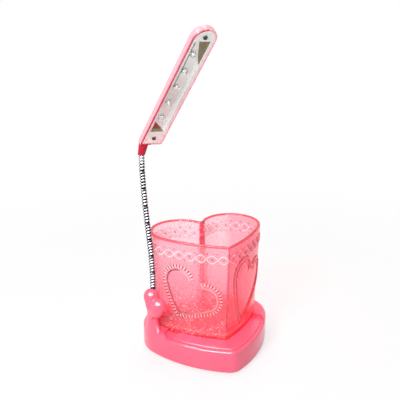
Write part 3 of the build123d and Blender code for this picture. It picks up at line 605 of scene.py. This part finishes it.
# %% Close the seam and the floor
bpy.ops.object.mode_set(mode="EDIT")
bpy.ops.mesh.select_all(action="SELECT")
bpy.ops.mesh.remove_doubles(threshold=merge_gap / 2)
bpy.ops.mesh.fill_holes(sides=0)
bpy.ops.mesh.select_all(action="SELECT")
bpy.ops.mesh.normals_make_consistent(inside=False)
bpy.ops.object.mode_set(mode="OBJECT")
bpy.ops.object.shade_smooth_by_angle(angle=radians(55))
print("cup:", len(cup.data.polygons), "faces")

# %% [markdown]
# See-through plastic is mostly transmission with a soft, pebbled skin. Colour that comes from
# absorption deepens where light crosses more plastic, so a volume carries most of the pink. The
# attributes stored on the mesh above do the rest: painted shade as deep red lines, painted highlights
# on the crests, grainy fields, painted deeper red on the shaded right face, deeper pink towards the
# bottom, and painted deep red at the rim, the front edge and the cleft, where light crosses the most
# plastic. Light from lamps has to reach what stands behind the wall, so a Transparent shader takes
# over for shadow rays.

# %% Pressed see-through plastic


def stored(tree, name):
    """A number that the mesh's points carry, as a socket."""
    mark = tree.nodes.new("ShaderNodeAttribute")
    mark.attribute_name = name
    return mark.outputs["Fac"]


def colour_mix(tree, factor, first, second):
    """A socket's colour that turns into a plain one as the factor goes from 0 to 1."""
    mix = tree.nodes.new("ShaderNodeMix")
    mix.data_type = "RGBA"
    mix.inputs["B"].default_value = (*second, 1)
    tree.links.new(factor, mix.inputs["Factor"])
    tree.links.new(first, mix.inputs["A"])
    return mix.outputs["Result"]


def clear_to_lamps(tree, shader, tint, output):
    """The shader for every ray except shadow rays, which pass with a tint."""
    let_by = tree.nodes.new("ShaderNodeBsdfTransparent")
    let_by.inputs["Color"].default_value = (*tint, 1)
    path = tree.nodes.new("ShaderNodeLightPath")
    shader_mix(tree, path.outputs["Is Shadow Ray"], shader, let_by, output)


pressed, tree, output = start_finish("pressed_pink")
skin = tree.nodes.new("ShaderNodeBsdfPrincipled")
skin.inputs["IOR"].default_value = 1.3
clear_to_lamps(tree, skin, (0.97, 0.62, 0.70), output)
body = tree.nodes.new("ShaderNodeVolumeAbsorption")
body.inputs["Color"].default_value = (1.0, 0.16, 0.32, 1)
body.inputs["Density"].default_value = 118.0
tree.links.new(body.outputs[0], output.inputs["Volume"])
print("see-through plastic started:", pressed.name)

# %% Pebbles, painted shade on the edges and painted highlights on the crests
pebbles_a_metre, pip_reach, dark_chance, pale_chance = 680.0, 0.42, 0.64, 0.28
where = tree.nodes.new("ShaderNodeTexCoord")
pebbles = tree.nodes.new("ShaderNodeTexVoronoi")
pebbles.inputs["Scale"].default_value = pebbles_a_metre
tree.links.new(where.outputs["Object"], pebbles.inputs["Vector"])
from_pebble = pebbles.outputs["Distance"]
tint = tree.nodes.new("ShaderNodeValToRGB")
tint.color_ramp.elements[0].color = (1.0, 0.90, 0.94, 1)
tint.color_ramp.elements[1].color = (1.0, 0.97, 0.99, 1)
tree.links.new(from_pebble, tint.inputs["Fac"])
chance = tree.nodes.new("ShaderNodeSeparateColor")
tree.links.new(pebbles.outputs["Color"], chance.inputs[0])
edge_red_mark, grain_mark = stored(tree, "rich"), stored(tree, "grainy")
pip = product(tree, sum_node(tree, "LESS_THAN", from_pebble, pip_reach), grain_mark)
# Pebble pips: dark ones are painted shade, pale ones are painted glints.
pip_shade = product(tree, pip, sum_node(tree, "GREATER_THAN", chance.outputs[0], dark_chance), 0.65)
pip_glint = product(tree, pip, sum_node(tree, "LESS_THAN", chance.outputs[0], pale_chance), 0.6)
shade_mark = sum_node(tree, "MAXIMUM", stored(tree, "deep"), pip_shade)
highlight_mark = sum_node(tree, "MAXIMUM", stored(tree, "crest"), pip_glint)
# Painted colours in turn: deeper red of the right face and lower wall, deep red at the edges, shade lines,
# highlights.
colour = colour_mix(tree, stored(tree, "warm"), tint.outputs["Color"], (1.0, 0.36, 0.45))
colour = colour_mix(tree, edge_red_mark, colour, (0.95, 0.06, 0.12))
colour = colour_mix(tree, shade_mark, colour, (0.28, 0.001, 0.02))
colour = colour_mix(tree, highlight_mark, colour, (1.0, 0.92, 0.95))
tree.links.new(colour, skin.inputs["Base Color"])
marked = sum_node(tree, "ADD", shade_mark, highlight_mark)
marked = sum_node(tree, "ADD", marked, product(tree, edge_red_mark, 0.5))
tree.links.new(rescale(tree, marked, 0.95, 0.25), skin.inputs["Transmission Weight"])
tree.links.new(rescale(tree, object_noise(tree, 420.0), 0.03, 0.14), skin.inputs["Roughness"])
raise_skin(tree, skin, product(tree, from_pebble, grain_mark), 0.9, grain_depth)
dress(cup, pressed)
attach(cup, "pen_cup")
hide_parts("pen_cup")
print("see-through plastic:", len(tree.nodes), "shader nodes")

# %% [markdown]
# ## Gooseneck
# The neck is a steel tube wound from round wire and plated. One turn of wire is a small circle beside
# an axis, and the Screw modifier winds it. Each link of the neck is a separate winding round a core
# painted dark as the shade between the turns, so the neck bends where the links meet. The ball at the
# top of each link fills the gap and is painted dark as shade too.

# %% Plated steel with painted shade in its valleys, and the core painted dark as shade


def recolour(material, factor, colour):
    """A finish's colour turned into another where the factor is one."""
    tree = material.node_tree
    base = finish_shader(material).inputs["Base Color"]
    tree.links.new(colour_mix(tree, factor, base.links[0].from_socket, colour), base)


plated = finish(
    "plated_winding", (0.62, 0.62, 0.65), (0.54, 0.54, 0.58), (0.14, 0.24), 1.0, grain=1500, bump=0.03
)
# Painted shade: the plating turns nearly black below the wire's crest, in the valleys and on the ball.
recolour(plated, stored(plated.node_tree, "valley_shade"), (0.008, 0.008, 0.01))
core_shade = finish("winding_core_shade", (0.02, 0.02, 0.022), (0.035, 0.033, 0.033), (0.45, 0.6), 0.6, grain=1200)
print("neck finishes:", plated.name, "and", core_shade.name)

# %% One wound link
neck_leans = [0.0, 0.4, 2.9, 5.0, 5.4, 4.9, 4.0, 2.7, 0.8]
neck_joints = [Vector(joint["pos_m"]) for joint in frame["joints"] if joint["name"].startswith("neck_")]
first_link, link_pitch, last_link = 18.0 * MM, 16.0 * MM, 14.0 * MM
foot_gap, link_gap = 0.2 * MM, 0.55 * MM
wire, coil_r, core_r, ball_r, core_sides = 0.85 * MM, 1.9 * MM, 1.85 * MM, 2.2 * MM, 28
valley_shade_start, valley_shade_end = 0.05 * MM, 0.22 * MM
winding_pitch = link_pitch / 6


def wound_link(number, foot, low, top, ball, start=-2.0 * winding_pitch):
    """A winding round a core, cut flat at both ends, along the link's own lean."""
    bpy.ops.object.select_all(action="DESELECT")
    bpy.ops.mesh.primitive_circle_add(
        vertices=12, radius=wire, location=(coil_r, 0, start), rotation=(radians(90), 0, 0)
    )
    coil = bpy.context.active_object
    bpy.ops.object.transform_apply(location=True, rotation=True, scale=True)
    screw = coil.modifiers.new("winding", "SCREW")
    screw.axis = "Z"
    screw.angle = radians(360)
    screw.screw_offset = winding_pitch
    screw.iterations = int((top - start) / winding_pitch) + 2
    screw.steps = screw.render_steps = 24
    bpy.ops.object.modifier_apply(modifier="winding")
    bpy.ops.object.mode_set(mode="EDIT")
    for cut, side in ((low, "clear_inner"), (top, "clear_outer")):
        bpy.ops.mesh.select_all(action="SELECT")
        bpy.ops.mesh.bisect(plane_co=(0, 0, cut), plane_no=(0, 0, 1), use_fill=True, **{side: True})
    bpy.ops.mesh.select_all(action="SELECT")
    bpy.ops.mesh.normals_make_consistent(inside=False)
    bpy.ops.mesh.select_all(action="DESELECT")
    bpy.ops.object.mode_set(mode="OBJECT")
    plain = len(coil.data.polygons)
    bpy.ops.object.mode_set(mode="EDIT")
    bpy.ops.mesh.primitive_cylinder_add(
        vertices=core_sides, radius=core_r, depth=top - low, location=(0, 0, (low + top) / 2)
    )
    if ball:
        bpy.ops.mesh.select_all(action="DESELECT")
        bpy.ops.mesh.primitive_uv_sphere_add(
            segments=24, ring_count=14, radius=ball_r, location=(0, 0, top + link_gap)
        )
    bpy.ops.object.mode_set(mode="OBJECT")
    coil.data.materials.append(plated)
    coil.data.materials.append(core_shade)
    core_end = plain + core_sides + 2
    for place, face in enumerate(coil.data.polygons):
        face.material_index = 1 if plain <= place < core_end else 0
    # Painted shade: how far each point lies below the wire's crest.
    spots = np.zeros(len(coil.data.vertices) * 3)
    coil.data.vertices.foreach_get("co", spots)
    from_axis = np.hypot(spots[0::3], spots[1::3])
    shade_in_valley = step(valley_shade_start, valley_shade_end, coil_r + wire - from_axis).astype(np.float32)
    coil.data.attributes.new("valley_shade", "FLOAT", "POINT").data.foreach_set("value", shade_in_valley)
    bpy.ops.object.shade_smooth_by_angle(angle=radians(50))
    coil.name = f"neck_winding_{number}"
    coil.rotation_euler = (0, -radians(neck_leans[number - 1]), 0)
    coil.location = foot
    bpy.ops.object.transform_apply(location=True, rotation=True, scale=True)
    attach(coil, nodes[f"gooseneck_{number}"]["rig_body"])
    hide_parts(f"gooseneck_{number}")


print("winding pitch:", round(winding_pitch / MM, 2), "mm")

# %% Wind the nine links
neck_foot = neck_joints[0] - Vector((0, 0, first_link))
wound_link(1, neck_foot, foot_gap, first_link - link_gap, True, first_link - 9 * winding_pitch)
for number in range(2, 9):
    wound_link(number, neck_joints[number - 2], link_gap, link_pitch - link_gap, True)
wound_link(9, neck_joints[7], link_gap, last_link, False)
print("neck wound in", len(neck_joints) + 1, "links")

# %% [markdown]
# ## Lamp head
# The head is a paler pink than the base. Its tray holds a mirror-plated plate with a sloped trough.
# Everything in the head leans, tips and rolls together, so one matrix holds the head's directions and
# each piece is modelled flat and then carried there.

# %% Head shell and its directions
upright = Matrix(((1, 0, 0), (0, 0, -1), (0, 1, 0)))
head_tip, head_lean, head_roll = radians(38.8), radians(-9.9), radians(6.0)
head_foot = Vector((-54.4196, 1.7106, 200.132)) * MM
head_turn = (
    upright
    @ Matrix.Rotation(head_tip, 3, "X")
    @ Matrix.Rotation(head_lean, 3, "Z")
    @ Matrix.Rotation(head_roll, 3, "Y")
)
head_place = head_turn.to_4x4()
head_place.translation = head_foot


def head_axes(tree):
    """Places across the head, along it and out of its face, in metres."""
    where = tree.nodes.new("ShaderNodeTexCoord")
    to_face = tree.nodes.new("ShaderNodeMapping")
    to_face.vector_type = "TEXTURE"
    to_face.inputs["Location"].default_value = head_place.translation
    to_face.inputs["Rotation"].default_value = head_turn.to_euler()
    tree.links.new(where.outputs["Object"], to_face.inputs["Vector"])
    axes = tree.nodes.new("ShaderNodeSeparateXYZ")
    tree.links.new(to_face.outputs[0], axes.inputs[0])
    return axes.outputs["X"], axes.outputs["Y"], axes.outputs["Z"]


print("head foot at", tuple(round(c, 4) for c in head_foot))

# %% Pale pink shell with a painted shade line along its edge, and the red collar
edge_shade_width, collar_end = 3.0 * MM, -0.15 * MM
blush = finish(
    "blush_gloss", (0.96, 0.43, 0.50), (0.975, 0.47, 0.54), (0.2, 0.26), grain=700, bump=0.008, coat=0.15
)
finish_shader(blush).inputs["Specular IOR Level"].default_value = 0.35
tree = blush.node_tree
across, _, out_of_face = head_axes(tree)
# Painted shade: a dark red line just behind the face's edge, faint on the right and full on the left.
edge_shade_bands = tree.nodes.new("ShaderNodeValToRGB")
edge_shade_bands.color_ramp.interpolation = "LINEAR"
stops = edge_shade_bands.color_ramp.elements
for place, strength in ((0.0, 0.0), (0.60, 0.0), (0.68, 0.85), (0.84, 0.85), (0.92, 0.0), (1.0, 0.0)):
    stop = stops.new(place) if 0 < place < 1 else stops[int(place)]
    stop.color = (strength, strength, strength, 1)
tree.links.new(rescale(tree, out_of_face, 0.0, 1.0, -edge_shade_width, 0.0), edge_shade_bands.inputs["Fac"])
on_left = rescale(tree, sum_node(tree, "LESS_THAN", across, 0.0), 0.1, 1.0)
recolour(blush, product(tree, edge_shade_bands.outputs["Color"], on_left), (0.62, 0.02, 0.06))
collar_red = finish(
    "collar_red", (0.50, 0.010, 0.030), (0.56, 0.016, 0.04), (0.2, 0.3), grain=700, bump=0.03, coat=0.1
)
finish_shader(collar_red).inputs["Specular IOR Level"].default_value = 0.15
head_skin = smooth_copy("head_shell")
dress(head_skin, blush)
head_skin.data.materials.append(collar_red)
to_head = head_place.inverted()
for face in head_skin.data.polygons:
    face.material_index = 1 if (to_head @ face.center).y < collar_end else 0
print("head shell:", len(head_skin.data.polygons), "faces")

# %% [markdown]
# The plate is plated like a mirror, but thinly: it has faint ripples, and the trough's slopes carry
# painted reflections: a smoky gold tone near both ends and a dark streak beside the upper LEDs. Both
# depend only on the place on the plate, so they stay put when the lamp is seen from elsewhere.

# %% Painted reflections on the plate: smoky ends and a dark streak
trough_half, trough_far, trough_near, silver_span = 6.4 * MM, 116.4 * MM, 16.0 * MM, 100.0 * MM
far_smoke, far_slant, near_smoke = 38.8 * MM, 0.35, 22.2 * MM
streak_across, streak_from, streak_to = -4.4 * MM, 68.0 * MM, 113.0 * MM
streak_core, streak_edge = 0.42 * MM, 1.12 * MM
plating, tree, output = start_finish("mirror_plating")
across, along_plate, _ = head_axes(tree)
mottle = rescale(tree, object_noise(tree, 600.0, 2.0), 0.75, 1.0)
far_edge = sum_node(tree, "ADD", product(tree, along_plate, far_slant), across)
far_end = product(
    tree,
    sum_node(tree, "GREATER_THAN", far_edge, far_smoke),
    sum_node(tree, "LESS_THAN", along_plate, trough_far),
    sum_node(tree, "LESS_THAN", across, trough_half),
)
near_edge = sum_node(tree, "ADD", along_plate, across)
near_end = product(
    tree,
    sum_node(tree, "LESS_THAN", near_edge, near_smoke),
    sum_node(tree, "GREATER_THAN", along_plate, trough_near),
    sum_node(tree, "GREATER_THAN", across, -trough_half),
)
smoky_reflection = product(tree, sum_node(tree, "MAXIMUM", far_end, near_end), mottle)
from_streak = sum_node(tree, "ABSOLUTE", sum_node(tree, "SUBTRACT", across, streak_across))
streak_reflection = product(
    tree,
    rescale(tree, from_streak, 1.0, 0.0, streak_core, streak_edge),
    sum_node(tree, "GREATER_THAN", along_plate, streak_from),
    sum_node(tree, "LESS_THAN", along_plate, streak_to),
    mottle,
)
print("tones on the plate:", len(tree.nodes), "shader nodes")

# %% Mirror plating
mirror = tree.nodes.new("ShaderNodeBsdfPrincipled")
tree.links.new(mirror.outputs[0], output.inputs["Surface"])
silver = tree.nodes.new("ShaderNodeValToRGB")
silver.color_ramp.elements[0].color = (0.97, 1.0, 0.98, 1)
silver.color_ramp.elements[1].color = (0.84, 0.85, 0.83, 1)
silver.color_ramp.elements.new(0.55).color = (0.70, 0.69, 0.67, 1)
tree.links.new(sum_node(tree, "DIVIDE", along_plate, silver_span), silver.inputs["Fac"])
# Painted reflections: the dark streak, then the smoky gold ends.
colour = colour_mix(tree, streak_reflection, silver.outputs["Color"], (0.04, 0.05, 0.035))
colour = colour_mix(tree, smoky_reflection, colour, (0.15, 0.10, 0.02))
tree.links.new(colour, mirror.inputs["Base Color"])
tree.links.new(rescale(tree, smoky_reflection, 0.12, 1.0), mirror.inputs["Metallic"])
tree.links.new(rescale(tree, object_noise(tree, 700.0), 0.26, 0.40), mirror.inputs["Roughness"])
raise_skin(tree, mirror, object_noise(tree, 160.0, 2.0), 0.12, 1.0 * MM)
plate_skin = smooth_copy("reflector", 25.0)
dress(plate_skin, plating)
print("plate:", len(plate_skin.data.polygons), "faces")

# %% [markdown]
# ## LEDs
# A 5 mm LED is a clear bullet with a flange at its foot. Inside it a small metal cup on a post holds
# the yellow-coated chip. The bullet starts as a sphere, is cut at its equator, and its open rim is
# extruded down into the barrel and out into the flange.

# %% Clear epoxy, chip and frame
epoxy, tree, output = start_finish("clear_epoxy")
clear = tree.nodes.new("ShaderNodeBsdfPrincipled")
clear.inputs["Base Color"].default_value = (0.97, 0.98, 1.0, 1)
clear.inputs["IOR"].default_value = 1.5
clear.inputs["Transmission Weight"].default_value = 0.6
clear_to_lamps(tree, clear, (0.96, 0.96, 0.96), output)
tree.links.new(rescale(tree, object_noise(tree, 900.0), 0.02, 0.08), clear.inputs["Roughness"])
phosphor = finish("chip_phosphor", (0.92, 0.86, 0.58), (0.96, 0.90, 0.68), (0.5, 0.6), grain=3000)
lead_frame = finish("lead_frame", (0.86, 0.86, 0.84), (0.78, 0.78, 0.76), (0.25, 0.35), 0.8, grain=2000)
print("LED finishes:", epoxy.name, phosphor.name, lead_frame.name)

# %% One LED
led_foot, led_r, flange_r, flange_h, led_h = -4.6 * MM, 2.5 * MM, 2.9 * MM, 0.8 * MM, 5.2 * MM


def pick(mesh, wanted):
    """Select the mesh's points that pass a test, in edit mode's point selection."""
    bpy.ops.object.mode_set(mode="EDIT")
    bpy.ops.mesh.select_mode(type="VERT")
    bpy.ops.mesh.select_all(action="DESELECT")
    bpy.ops.object.mode_set(mode="OBJECT")
    for point in mesh.vertices:
        point.select = wanted(point.co)
    bpy.ops.object.mode_set(mode="EDIT")


def make_led(number, across, along_head):
    """A clear LED standing on the strip, modelled flat and then carried into the head."""
    bpy.ops.object.select_all(action="DESELECT")
    dome_z = led_h - led_r
    bpy.ops.mesh.primitive_uv_sphere_add(segments=32, ring_count=16, radius=led_r, location=(0, 0, dome_z))
    led = bpy.context.active_object
    bpy.ops.object.transform_apply(location=True, rotation=True, scale=True)
    bpy.ops.object.mode_set(mode="EDIT")
    bpy.ops.mesh.select_all(action="SELECT")
    bpy.ops.mesh.bisect(plane_co=(0, 0, dome_z), plane_no=(0, 0, 1), clear_inner=True)
    pick(led.data, lambda p: p.z < dome_z + 1e-6)
    bpy.ops.mesh.extrude_region_move(TRANSFORM_OT_translate={"value": (0, 0, flange_h - dome_z)})
    bpy.ops.mesh.extrude_region_move(TRANSFORM_OT_translate={"value": (0, 0, 0)})
    wider = flange_r / led_r
    bpy.ops.transform.resize(value=(wider, wider, 1), center_override=(0, 0, flange_h))
    bpy.ops.mesh.extrude_region_move(TRANSFORM_OT_translate={"value": (0, 0, -flange_h)})
    bpy.ops.mesh.edge_face_add()
    bpy.ops.mesh.select_all(action="SELECT")
    bpy.ops.mesh.normals_make_consistent(inside=False)
    bpy.ops.mesh.select_all(action="DESELECT")
    bpy.ops.object.mode_set(mode="OBJECT")
    outside = len(led.data.polygons)
    bpy.ops.object.mode_set(mode="EDIT")
    bpy.ops.mesh.primitive_cone_add(
        vertices=16, radius1=0.45 * MM, radius2=1.15 * MM, depth=1.3 * MM, location=(0, 0, 1.55 * MM)
    )
    bpy.ops.mesh.select_all(action="DESELECT")
    bpy.ops.mesh.primitive_cube_add(size=0.5 * MM, location=(0.9 * MM, 0, 0.6 * MM), scale=(1, 1, 2.2))
    bpy.ops.mesh.select_all(action="DESELECT")
    bpy.ops.object.mode_set(mode="OBJECT")
    metal_end = len(led.data.polygons)
    bpy.ops.object.mode_set(mode="EDIT")
    bpy.ops.mesh.primitive_uv_sphere_add(
        segments=12, ring_count=8, radius=0.8 * MM, location=(0, 0, 2.15 * MM), scale=(1, 1, 0.35)
    )
    bpy.ops.object.mode_set(mode="OBJECT")
    for material in (epoxy, lead_frame, phosphor):
        led.data.materials.append(material)
    for place, face in enumerate(led.data.polygons):
        face.material_index = 0 if place < outside else 1 if place < metal_end else 2
    bpy.ops.object.shade_smooth_by_angle(angle=radians(40))
    led.name = f"led_lamp_{number}"
    led.matrix_world = head_place @ Matrix.Translation((across, along_head, led_foot))
    bpy.ops.object.transform_apply(location=True, rotation=True, scale=True)
    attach(led, "head")
    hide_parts(f"led_{number}")


print("one LED is", round(led_h / MM, 1), "mm tall")

# %% The row of five LEDs
led_across, first_led, led_pitch = -1.8 * MM, 32.7 * MM, 17.5 * MM
for number in range(1, 6):
    make_led(number, led_across, first_led + led_pitch * (number - 1))
print("LEDs stand", round(led_pitch / MM, 1), "mm apart")

# %% [markdown]
# ## Small and hidden parts
# The rest keeps its CAD shape, because it is right as it is, and wears a finish with the scale of the
# real material: rolled steel, nickel strip, rubber, vinyl, printed board and the cells' jackets.

# %% Finishes for small parts
steel = finish(
    "screw_steel", (0.60, 0.60, 0.61), (0.52, 0.52, 0.54), (0.22, 0.36), 1.0, grain=1600, bump=0.06
)
dark_steel = finish(
    "blackened_screw", (0.07, 0.07, 0.07), (0.12, 0.12, 0.12), (0.25, 0.4), 0.8, grain=1600, bump=0.06
)
nickel = finish(
    "nickel_strip", (0.72, 0.70, 0.64), (0.66, 0.64, 0.60), (0.20, 0.34), 1.0, grain=1800, bump=0.05
)
rubber = finish("foot_rubber", (0.60, 0.58, 0.57), (0.52, 0.50, 0.50), (0.65, 0.85), grain=1300, bump=0.25)
satin = finish("satin_coral", (0.80, 0.10, 0.155), (0.84, 0.115, 0.17), (0.38, 0.52), grain=1600, bump=0.22)
black = finish("switch_black", (0.018, 0.018, 0.02), (0.03, 0.03, 0.032), (0.35, 0.5), grain=1400, bump=0.12)
ivory = finish("knob_white", (0.86, 0.84, 0.82), (0.80, 0.78, 0.76), (0.3, 0.42), grain=1400, bump=0.1)
vinyl = finish("wire_vinyl", (0.62, 0.03, 0.03), (0.70, 0.05, 0.045), (0.35, 0.45), grain=1200, bump=0.08)
laminate = finish(
    "board_laminate", (0.03, 0.20, 0.06), (0.06, 0.30, 0.10), (0.3, 0.45), grain=900, bump=0.1, slow=420.0
)
lacquer = finish(
    "resistor_lacquer", (0.62, 0.46, 0.26), (0.50, 0.20, 0.10), (0.3, 0.4), grain=900, slow=260.0
)
jacket = finish(
    "cell_jacket", (0.20, 0.21, 0.23), (0.27, 0.28, 0.30), (0.22, 0.32), 0.4, grain=900, slow=60.0
)
print("finishes in all:", len(bpy.data.materials))

# %% Dress the small parts
worn = {
    steel: ["base_screws", "post_nut", "upper_stud"],
    dark_steel: ["head_screws"],
    nickel: ["contact_negative", "contact_positive", "contact_bridge_rear", "contact_bridge_front"],
    plated: ["lower_ferrule"],
    rubber: ["rubber_feet"],
    satin: ["base_plate", "battery_door"],
    black: ["switch_body"],
    ivory: ["switch_knob"],
    vinyl: ["base_lead", "battery_lead", "switch_lead", "head_lead"] + [f"lead_{n}" for n in range(2, 9)],
    laminate: ["circuit_board", "led_board"],
    lacquer: ["resistor"],
    jacket: ["battery_1", "battery_2", "battery_3"],
}
for material, names in worn.items():
    for name in names:
        dress(nodes[name], material)
print("small parts dressed:", sum(len(names) for names in worn.values()))
